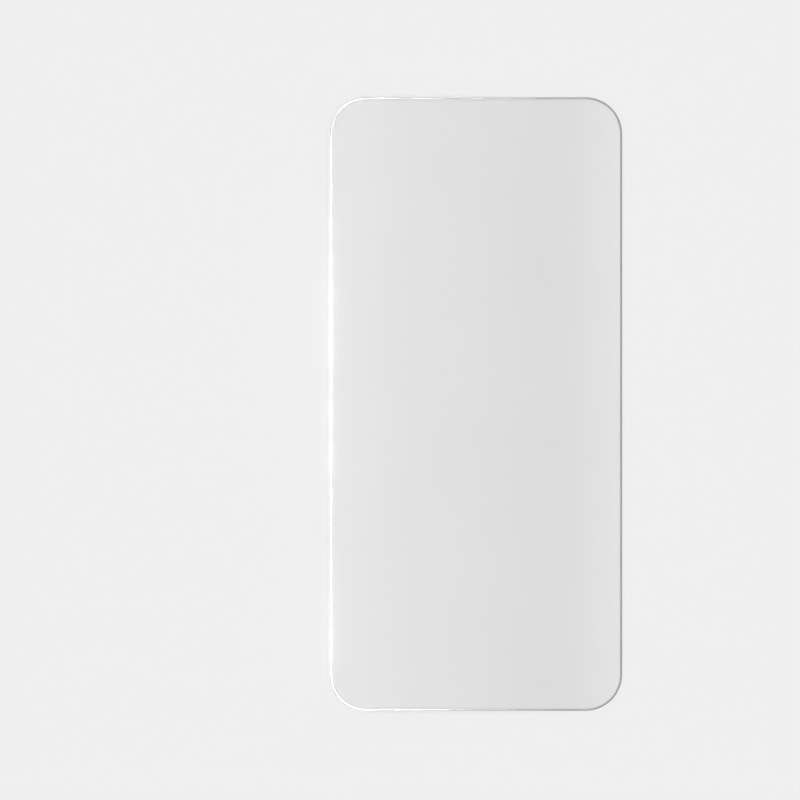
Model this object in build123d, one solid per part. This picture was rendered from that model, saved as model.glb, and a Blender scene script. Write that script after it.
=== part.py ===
"""Phone screen protector: one sheet of toughened glass, ground to a rounded rectangle.

Frame: millimetres, +Z up. The sheet lies on its flat back face at Z = 0, with its front face, the one that
has the curved edge, up. The origin is the middle of the back face, X runs across the sheet and Y along it.
"""
import os

from build123d import *

# Driving dimensions
sheet_width = 69.9
sheet_length = 147.0
sheet_thickness = 0.33
corner_radius = 8.7
arc_width = 0.5        # how far the curved front edge reaches in from the rim
rim_height = 0.10      # upright strip left between the front arc and the back bevel
back_bevel = 0.05      # safety bevel round the back face

# Worked out from the driving dimensions
arc_foot = back_bevel + rim_height
arc_drop = sheet_thickness - arc_foot
up = Vector(0, 0, 1)


def outline():
    """The finished outline, a rectangle with round corners, on the plane of the back face."""
    return RectangleRounded(sheet_width, sheet_length, corner_radius)


def bevelled_blank():
    """The flat sheet as cut, with a small bevel all round its back face."""
    blank = extrude(outline(), sheet_thickness)
    back_face = blank.faces().sort_by(Axis.Z)[0]
    return chamfer(back_face.edges(), back_bevel)


def arc_waste():
    """Section of the glass that is ground away above the front arc: X is outwards from the rim, Y is height.

    The arc is a quarter of an ellipse, level where it meets the front face and upright where it meets the
    rim. The other sides of the section lie outside the blank, one thickness clear of it.
    """
    above = 2 * sheet_thickness
    beyond = sheet_thickness
    arc = EllipticalCenterArc((-arc_width, arc_foot), arc_width, arc_drop, start_angle=0, arc_size=90)
    sides = Polyline(
        (-arc_width, sheet_thickness),
        (-arc_width, above),
        (beyond, above),
        (beyond, arc_foot),
        (0, arc_foot),
    )
    return make_face(Curve() + [arc, sides])


def ground_sheet():
    """The finished sheet: the blank with its front edge ground to the arc, all along the outline."""
    path = outline().wire()
    start = path @ 0
    outward = (path % 0).cross(up)
    if outward.dot(start) < 0:
        outward = -outward
    section_plane = Plane(start, x_dir=outward, z_dir=outward.cross(up))
    waste = sweep(section_plane * arc_waste(), path=path)
    return bevelled_blank() - waste


glass_sheet = ground_sheet()
glass_sheet.label = "glass_sheet"

os.makedirs("parts", exist_ok=True)
export_step(glass_sheet, "parts/glass_sheet.step")
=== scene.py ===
"""Looks of the phone screen protector: one clear glass sheet on a pale floor, seen from straight above."""
import math

import bpy
import numpy as np
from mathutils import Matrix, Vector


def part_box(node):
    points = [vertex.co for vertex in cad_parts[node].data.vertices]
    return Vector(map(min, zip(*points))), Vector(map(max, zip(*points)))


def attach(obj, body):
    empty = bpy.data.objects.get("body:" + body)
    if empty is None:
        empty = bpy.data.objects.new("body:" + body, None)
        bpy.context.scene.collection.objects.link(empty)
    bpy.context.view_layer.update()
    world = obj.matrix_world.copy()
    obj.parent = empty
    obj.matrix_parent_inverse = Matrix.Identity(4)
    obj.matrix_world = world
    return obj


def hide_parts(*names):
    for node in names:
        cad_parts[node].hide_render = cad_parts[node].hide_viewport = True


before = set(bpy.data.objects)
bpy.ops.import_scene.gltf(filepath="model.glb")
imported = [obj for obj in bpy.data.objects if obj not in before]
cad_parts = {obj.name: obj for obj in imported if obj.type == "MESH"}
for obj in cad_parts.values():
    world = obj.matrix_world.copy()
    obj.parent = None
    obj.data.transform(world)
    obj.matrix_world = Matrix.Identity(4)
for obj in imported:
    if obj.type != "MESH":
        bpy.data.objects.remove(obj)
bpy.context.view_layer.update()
sheet_low, sheet_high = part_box("glass_sheet")

MM = 0.001

# The sheet's own sizes, in metres, as its solid has them
sheet_width = sheet_high.x - sheet_low.x
sheet_length = sheet_high.y - sheet_low.y
sheet_thickness = sheet_high.z - sheet_low.z
corner_radius = 8.7 * MM
arc_width = 0.5 * MM
rim_height = 0.10 * MM
back_bevel = 0.05 * MM

# How finely the surface is cut
corner_steps = 40
side_step = 3.0 * MM
arc_steps = 24
support_width = 0.02 * MM          # narrow flat strip beside the edge
flat_inset = 4.0 * MM              # how far in from the rim the one large flat face begins
flat_strips = 2                    # flat strips at either end of the edge's profile
crease_angle = math.radians(30)

# The glass: clear all through, with a coating that is sprayed on, so a little heavier in some places
glass_ior = 1.51
coating_patch = 30.0 * MM
coating_thin_tint, coating_heavy_tint = "#F9F9F9", "#F7F7F7"

# The edge's finish: the arc's first steps are polished as clear as the face, and the rest of the edge has
# lines left by the grinding wheel, drawn coarser than the real 0.03 mm so that they show
polished_steps = 6
grind_line_length = 9.0 * MM
grind_line_pitch = 0.12 * MM
grind_line_depth = 0.002 * MM
grind_line_strength = 0.5
# The edge's two greys: the grinding lines vary between them, and both are darker than ground glass is, as
# painted shade for the dark line a glass edge shows where it bends light away
painted_shade_grind_dark_grey, painted_shade_grind_light_grey = "#7D7E80", "#929395"
polish_patch = 5.0 * MM
polish_least_roughness, polish_most_roughness = 0.2, 0.3

# The photograph's frame, in its own pixels
photo_side_px = 800
sheet_left_px, sheet_right_px = 330.2, 622.0
sheet_top_px, sheet_bottom_px = 97.1, 711.1

# Stage, in metres unless the name says otherwise
camera_lens_mm = 50.0
camera_sensor_mm = 36.0
camera_nearest, camera_farthest = 0.01, 100.0
floor_half_side = 6.0
floor_gap = 0.02 * MM
floor_colour = "#EEEEEE"
backdrop_colour = "#EFEFEF"

# Brightness of the light tent by the angle from straight up, in degrees, from the left round to the right
tent_levels = [
    (-90, 1.05), (-75, 1.05), (-58, 0.7), (-42, 2.3), (-28, 0.8), (-13, 1.85), (-4, 1.85), (2, 0.95),
    (8, 0.4), (12, 1.5), (20, 1.6), (34, 1.7), (50, 0.7), (72, 1.2), (90, 1.1),
]
# Towards the front and the back, its bands fade into one even brightness
tent_even_level = 1.1
tent_fade_start, tent_fade_end = math.radians(17), math.radians(60)
tent_fade_most = 0.6
# Below this elevation it dims, down to this share of its brightness at the floor
tent_foot_elevation = math.radians(30)
tent_foot_share = 0.75

# Softboxes that light only the ground edge: name, the side they stand on, their lean from straight up in
# degrees, their middle along that side, width and length in metres, and their brightness
softbox_distance = 0.9
softboxes = [
    ("left_softbox", (-1, 0), 30, 0.0, 0.16, 1.3, 120.0),
    ("top_softbox", (0, 1), 41, -0.24, 0.25, 0.62, 185.0),
    ("bottom_softbox", (0, -1), 41, -0.24, 0.25, 0.62, 200.0),
    ("upper_glint_softbox", (-1, 0), 30, 0.128, 0.16, 0.07, 2400.0),
    ("middle_glint_softbox", (-1, 0), 30, 0.001, 0.16, 0.16, 1300.0),
    ("lower_glint_softbox", (-1, 0), 30, -0.228, 0.16, 0.07, 2400.0),
]
# Each fades over this share of its width and length, in from its edges
softbox_fade = 0.25

# Glow that a camera lens puts round the brightest glints
glow_settings = {"Threshold": 2.5, "Clamp": True, "Maximum": 8.0, "Strength": 1.0, "Size": 0.2}


def linear(hex_colour):
    """An sRGB hex colour as linear red, green, blue and an alpha of 1."""
    shares = [int(hex_colour[i:i + 2], 16) / 255 for i in (1, 3, 5)]
    return [s / 12.92 if s <= 0.04045 else ((s + 0.055) / 1.055) ** 2.4 for s in shares] + [1.0]


def add_node(tree, kind, settings=None, inputs=None, links=None):
    """Adds a node to a tree, sets its properties and input values, and links sockets into its inputs."""
    node = tree.nodes.new(kind)
    for name, value in (settings or {}).items():
        setattr(node, name, value)
    for name, value in (inputs or {}).items():
        node.inputs[name].default_value = value
    for name, socket in (links or {}).items():
        tree.links.new(socket, node.inputs[name])
    return node


def new_material(name):
    """An empty node material, and its tree."""
    material = bpy.data.materials.new(name)
    material.use_nodes = True
    material.node_tree.nodes.clear()
    return material, material.node_tree


def outline():
    """Points on the sheet's outer outline, counter-clockwise, and the outward direction at each.

    Each corner is a quarter circle about its own centre, and each straight side between two corners is cut
    into equal steps. Outward is the direction from the corner's centre, which holds along the side after it.
    """
    half_x, half_y = sheet_width / 2 - corner_radius, sheet_length / 2 - corner_radius
    points, outwards = [], []
    for quarter, (sx, sy) in enumerate([(1, 1), (-1, 1), (-1, -1), (1, -1)]):
        angles = math.pi / 2 * (quarter + np.arange(corner_steps + 1) / corner_steps)
        out = np.stack([np.cos(angles), np.sin(angles)], axis=1)
        arc = np.array([sx * half_x, sy * half_y]) + corner_radius * out
        side = 2 * (half_x if quarter % 2 == 0 else half_y)
        steps = max(1, round(side / side_step))
        along = np.array([-out[-1, 1], out[-1, 0]])
        share = np.arange(1, steps)[:, None] / steps
        points += [arc, arc[-1] + share * side * along]
        outwards += [out, np.repeat(out[-1:], steps - 1, axis=0)]
    return np.concatenate(points), np.concatenate(outwards)


def edge_profile():
    """Distance in from the rim and height along the sheet's edge, from the front face to the back face.

    The front arc is a quarter ellipse, arc_width across and as high as what the rim and the bevel leave. A
    narrow flat strip beside it, and one beside the bevel, keep the faces flat in shading.
    """
    arc_foot = back_bevel + rim_height
    arc_drop = sheet_thickness - arc_foot
    turn = np.linspace(0, math.pi / 2, arc_steps + 1)
    arc = np.stack([arc_width * (1 - np.sin(turn)), arc_foot + arc_drop * np.cos(turn)], axis=1)
    front = np.array([[flat_inset, sheet_thickness], [arc_width + support_width, sheet_thickness]])
    back = np.array([[0, back_bevel], [back_bevel, 0], [back_bevel + support_width, 0], [flat_inset, 0]])
    return np.concatenate([front, arc, back])


def grinding_run(points, profile):
    """Each vertex's place for the grinding lines, in metres, so that they follow the edge and close up.

    The way round the outline is bent into a circle of the same length in X and Y, and Z is the way along the
    edge's profile.
    """
    steps = np.linalg.norm(np.roll(points, -1, axis=0) - points, axis=1)
    way_round = np.concatenate([[0], np.cumsum(steps[:-1])])
    radius = steps.sum() / (2 * math.pi)
    angle = way_round[:, None] / radius
    climbs = np.linalg.norm(np.diff(profile, axis=0), axis=1)
    way_across = np.concatenate([[0], np.cumsum(climbs)])[None, :]
    run = np.broadcast_arrays(radius * np.cos(angle), radius * np.sin(angle), way_across)
    return np.stack(run, axis=2)


def sheet_mesh():
    """The whole sheet: the edge profile carried round the outline, closed by a flat face on either side."""
    points, outwards = outline()
    profile = edge_profile()
    around, across = len(points), len(profile)
    xy = points[:, None, :] - profile[None, :, :1] * outwards[:, None, :]
    z = np.broadcast_to(sheet_low.z + profile[None, :, 1:], (around, across, 1))
    vertices = np.concatenate([xy, z], axis=2).reshape(-1, 3)
    index = np.arange(around * across).reshape(around, across)
    following = np.roll(index, -1, axis=0)
    quads = np.stack([index[:, :-1], index[:, 1:], following[:, 1:], following[:, :-1]], axis=2)
    caps = [index[:, 0].tolist(), index[::-1, -1].tolist()]
    mesh = bpy.data.meshes.new("glass_sheet_surface")
    mesh.from_pydata(vertices.tolist(), [], quads.reshape(-1, 4).tolist() + caps)
    # Material 0 is the clear glass, on the flat faces and the polished steps, and 1 is the ground edge
    ground = np.zeros(quads.shape[:2], int)
    ground[:, flat_strips + polished_steps:-flat_strips] = 1
    mesh.polygons.foreach_set("material_index", np.append(ground.ravel(), [0, 0]))
    mesh.polygons.foreach_set("use_smooth", np.ones(len(mesh.polygons), bool))
    run = mesh.attributes.new("grinding_run", "FLOAT_VECTOR", "POINT")
    run.data.foreach_set("vector", grinding_run(points, profile).ravel())
    mesh.set_sharp_from_angle(angle=crease_angle)
    mesh.update()
    return mesh


def toughened_glass():
    """Toughened float glass, polished, with a thin sprayed coating against fingerprints.

    It is clear and mirror-smooth, with a faint grey that is a touch deeper where the coating is heavier.
    """
    material, tree = new_material("toughened_glass")
    place = add_node(tree, "ShaderNodeTexCoord")
    patches = add_node(tree, "ShaderNodeTexNoise", inputs={"Scale": 1 / coating_patch, "Detail": 2.0},
                       links={"Vector": place.outputs["Object"]})
    tint = add_node(tree, "ShaderNodeMix", {"data_type": "RGBA"},
                    {"A": linear(coating_thin_tint), "B": linear(coating_heavy_tint)},
                    {"Factor": patches.outputs["Fac"]})
    shader = add_node(tree, "ShaderNodeBsdfPrincipled",
                      inputs={"Roughness": 0.0, "IOR": glass_ior, "Transmission Weight": 1.0},
                      links={"Base Color": tint.outputs["Result"]})
    add_node(tree, "ShaderNodeOutputMaterial", links={"Surface": shader.outputs["BSDF"]})
    return material


def ground_edge():
    """Glass edge ground by a fine wheel and then lightly polished.

    Its grey is darker than ground glass is: painted shade for the light that a real glass edge bends away.
    The grinding leaves fine lines that run along the edge. The polish leaves a soft shine that is sharper
    in some places than in others.
    """
    material, tree = new_material("ground_glass_edge")
    run = add_node(tree, "ShaderNodeAttribute", {"attribute_name": "grinding_run"})
    stretch = (1 / grind_line_length, 1 / grind_line_length, 1 / grind_line_pitch)
    drawn = add_node(tree, "ShaderNodeMapping", inputs={"Scale": stretch},
                     links={"Vector": run.outputs["Vector"]})
    lines = add_node(tree, "ShaderNodeTexNoise", inputs={"Scale": 1.0, "Detail": 3.0},
                     links={"Vector": drawn.outputs["Vector"]})
    patches = add_node(tree, "ShaderNodeTexNoise", inputs={"Scale": 1 / polish_patch, "Detail": 1.0},
                       links={"Vector": run.outputs["Vector"]})
    grey = add_node(tree, "ShaderNodeMix", {"data_type": "RGBA"},
                    {"A": linear(painted_shade_grind_dark_grey), "B": linear(painted_shade_grind_light_grey)},
                    {"Factor": lines.outputs["Fac"]})
    dullness = add_node(tree, "ShaderNodeMapRange",
                        inputs={"To Min": polish_least_roughness, "To Max": polish_most_roughness},
                        links={"Value": patches.outputs["Fac"]})
    bump = add_node(tree, "ShaderNodeBump",
                    inputs={"Strength": grind_line_strength, "Distance": grind_line_depth},
                    links={"Height": lines.outputs["Fac"]})
    shader = add_node(tree, "ShaderNodeBsdfPrincipled", inputs={"IOR": glass_ior},
                      links={"Base Color": grey.outputs["Result"], "Roughness": dullness.outputs["Result"],
                             "Normal": bump.outputs["Normal"]})
    add_node(tree, "ShaderNodeOutputMaterial", links={"Surface": shader.outputs["BSDF"]})
    return material


def glass_sheet():
    """The sheet as one piece, with clear faces and a ground edge."""
    piece = bpy.data.objects.new("screen_protector_glass", sheet_mesh())
    bpy.context.scene.collection.objects.link(piece)
    piece.data.materials.append(toughened_glass())
    piece.data.materials.append(ground_edge())
    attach(piece, "root")
    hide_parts("glass_sheet")


def pale_floor():
    """A plain matt floor, a hair below the sheet's back face."""
    s, z = floor_half_side, sheet_low.z - floor_gap
    mesh = bpy.data.meshes.new("floor")
    mesh.from_pydata([(-s, -s, z), (s, -s, z), (s, s, z), (-s, s, z)], [], [(0, 1, 2, 3)])
    floor = bpy.data.objects.new("floor", mesh)
    bpy.context.scene.collection.objects.link(floor)
    material, tree = new_material("matt_white_card")
    shader = add_node(tree, "ShaderNodeBsdfDiffuse", inputs={"Color": linear(floor_colour)})
    add_node(tree, "ShaderNodeOutputMaterial", links={"Surface": shader.outputs["BSDF"]})
    mesh.materials.append(material)


def tent_bands(tree, sideways):
    """The tent's brightness by the sideways angle from straight up, eased from each level to the next."""
    share = add_node(tree, "ShaderNodeMapRange", inputs={"From Min": -math.pi / 2, "From Max": math.pi / 2},
                     links={"Value": sideways.outputs["Value"]})
    ramp = add_node(tree, "ShaderNodeValToRGB", links={"Fac": share.outputs["Result"]})
    ramp.color_ramp.interpolation = "EASE"
    stops = ramp.color_ramp.elements
    stops.remove(stops[0])
    peak = max(level for _, level in tent_levels)
    for degrees, level in tent_levels:
        place_share = (degrees + 90) / 180
        stop = stops.new(place_share) if place_share < 1 else stops[-1]
        stop.color = (level / peak, level / peak, level / peak, 1)
    return add_node(tree, "ShaderNodeMath", {"operation": "MULTIPLY"}, {1: peak},
                    {0: ramp.outputs["Color"]})


def light_tent():
    """Soft white light from all round, in bands from left to right that fade towards front and back.

    It dims towards the floor. The camera sees a plain backdrop in its place.
    """
    world = bpy.data.worlds.new("light_tent")
    bpy.context.scene.world = world
    world.use_nodes = True
    tree = world.node_tree
    tree.nodes.clear()
    place = add_node(tree, "ShaderNodeTexCoord")
    axes = add_node(tree, "ShaderNodeSeparateXYZ", links={"Vector": place.outputs["Generated"]})
    sideways, endways = [
        add_node(tree, "ShaderNodeMath", {"operation": "ARCTAN2"},
                 links={0: axes.outputs[axis], 1: axes.outputs["Z"]})
        for axis in "XY"]
    steepness = add_node(tree, "ShaderNodeMath", {"operation": "ABSOLUTE"},
                         links={0: endways.outputs["Value"]})
    fade = add_node(tree, "ShaderNodeMapRange", {"interpolation_type": "SMOOTHSTEP"},
                    {"From Min": tent_fade_start, "From Max": tent_fade_end, "To Max": tent_fade_most},
                    {"Value": steepness.outputs["Value"]})
    banded = add_node(tree, "ShaderNodeMix", inputs={"B": tent_even_level},
                      links={"Factor": fade.outputs["Result"],
                             "A": tent_bands(tree, sideways).outputs["Value"]})
    foot = add_node(tree, "ShaderNodeMapRange",
                    inputs={"From Max": math.sin(tent_foot_elevation), "To Min": tent_foot_share},
                    links={"Value": axes.outputs["Z"]})
    strength = add_node(tree, "ShaderNodeMath", {"operation": "MULTIPLY"},
                        links={0: banded.outputs["Result"], 1: foot.outputs["Result"]})
    light = add_node(tree, "ShaderNodeBackground", links={"Strength": strength.outputs["Value"]})
    plain = add_node(tree, "ShaderNodeBackground", inputs={"Color": linear(backdrop_colour)})
    path = add_node(tree, "ShaderNodeLightPath")
    mix = add_node(tree, "ShaderNodeMixShader",
                   links={"Fac": path.outputs["Is Camera Ray"], 1: light.outputs["Background"],
                          2: plain.outputs["Background"]})
    add_node(tree, "ShaderNodeOutputWorld", links={"Surface": mix.outputs["Shader"]})


def soft_front(tree):
    """A softbox's front: full in the middle, and fading to nothing at all four edges.

    Across and along, the way in from the nearer edge, as a share of the lamp, sets a fade, and the two fades
    are multiplied.
    """
    tree.nodes.clear()
    place = add_node(tree, "ShaderNodeNewGeometry")
    axes = add_node(tree, "ShaderNodeSeparateXYZ", links={"Vector": place.outputs["Parametric"]})
    fades = []
    for axis in "XY":
        inward = add_node(tree, "ShaderNodeMath", {"operation": "PINGPONG"}, {1: 0.5},
                          {0: axes.outputs[axis]})
        fades.append(add_node(tree, "ShaderNodeMapRange", {"interpolation_type": "SMOOTHSTEP"},
                              {"From Max": softbox_fade}, {"Value": inward.outputs["Value"]}))
    both = add_node(tree, "ShaderNodeMath", {"operation": "MULTIPLY"},
                    links={0: fades[0].outputs["Result"], 1: fades[1].outputs["Result"]})
    light = add_node(tree, "ShaderNodeEmission", links={"Strength": both.outputs["Value"]})
    add_node(tree, "ShaderNodeOutputLight", links={"Surface": light.outputs["Emission"]})


def softbox(name, side, lean_degrees, along, width, length, brightness):
    """A rectangular lamp that leans over the sheet and fades towards its edges.

    It lights neither the floor nor what is seen through the glass, and the smooth faces don't mirror it, so
    only the ground edge shows it.
    """
    data = bpy.data.lights.new(name, "AREA")
    data.shape = "RECTANGLE"
    data.size, data.size_y = width, length
    data.energy = brightness * math.pi * width * length
    # With this off, light mirrored by a smooth face never finds the lamp
    data.cycles.use_multiple_importance_sampling = False
    data.use_nodes = True
    soft_front(data.node_tree)
    lamp = bpy.data.objects.new(name, data)
    bpy.context.scene.collection.objects.link(lamp)
    lean = math.radians(lean_degrees)
    out, up = softbox_distance * math.sin(lean), softbox_distance * math.cos(lean)
    x, y = side
    lamp.location = (out * x + along * abs(y), out * y + along * abs(x), up)
    lamp.rotation_euler = (0, lean, math.atan2(y, x))
    lamp.visible_camera = False
    lamp.visible_diffuse = False
    lamp.visible_transmission = False


def camera_above():
    """A camera looking straight down, so that the sheet falls on the photograph's own pixels."""
    metres_per_px = sheet_width / (sheet_right_px - sheet_left_px)
    middle_x_px = (sheet_left_px + sheet_right_px) / 2
    middle_y_px = (sheet_top_px + sheet_bottom_px) / 2
    data = bpy.data.cameras.new("camera")
    data.lens, data.sensor_width = camera_lens_mm, camera_sensor_mm
    data.clip_start, data.clip_end = camera_nearest, camera_farthest
    distance = photo_side_px * metres_per_px * camera_lens_mm / camera_sensor_mm
    camera = bpy.data.objects.new("camera", data)
    bpy.context.scene.collection.objects.link(camera)
    camera.location = (
        (photo_side_px / 2 - middle_x_px) * metres_per_px,
        (middle_y_px - photo_side_px / 2) * metres_per_px,
        sheet_high.z + distance,
    )
    bpy.context.scene.camera = camera


def lens_glow():
    """A soft glow added to the finished picture round whatever is brighter than white."""
    scene = bpy.context.scene
    scene.use_nodes = True
    tree = scene.node_tree
    tree.nodes.clear()
    picture = add_node(tree, "CompositorNodeRLayers")
    glow = add_node(tree, "CompositorNodeGlare", {"glare_type": "BLOOM"}, glow_settings,
                    {"Image": picture.outputs["Image"]})
    add_node(tree, "CompositorNodeComposite", links={"Image": glow.outputs["Image"]})


bpy.context.scene.view_settings.view_transform = "Standard"
# Unblurred reflections, so that the floor under the clear glass keeps its light
bpy.context.scene.cycles.blur_glossy = 0.0
glass_sheet()
pale_floor()
light_tent()
for row in softboxes:
    softbox(*row)
camera_above()
lens_glow()
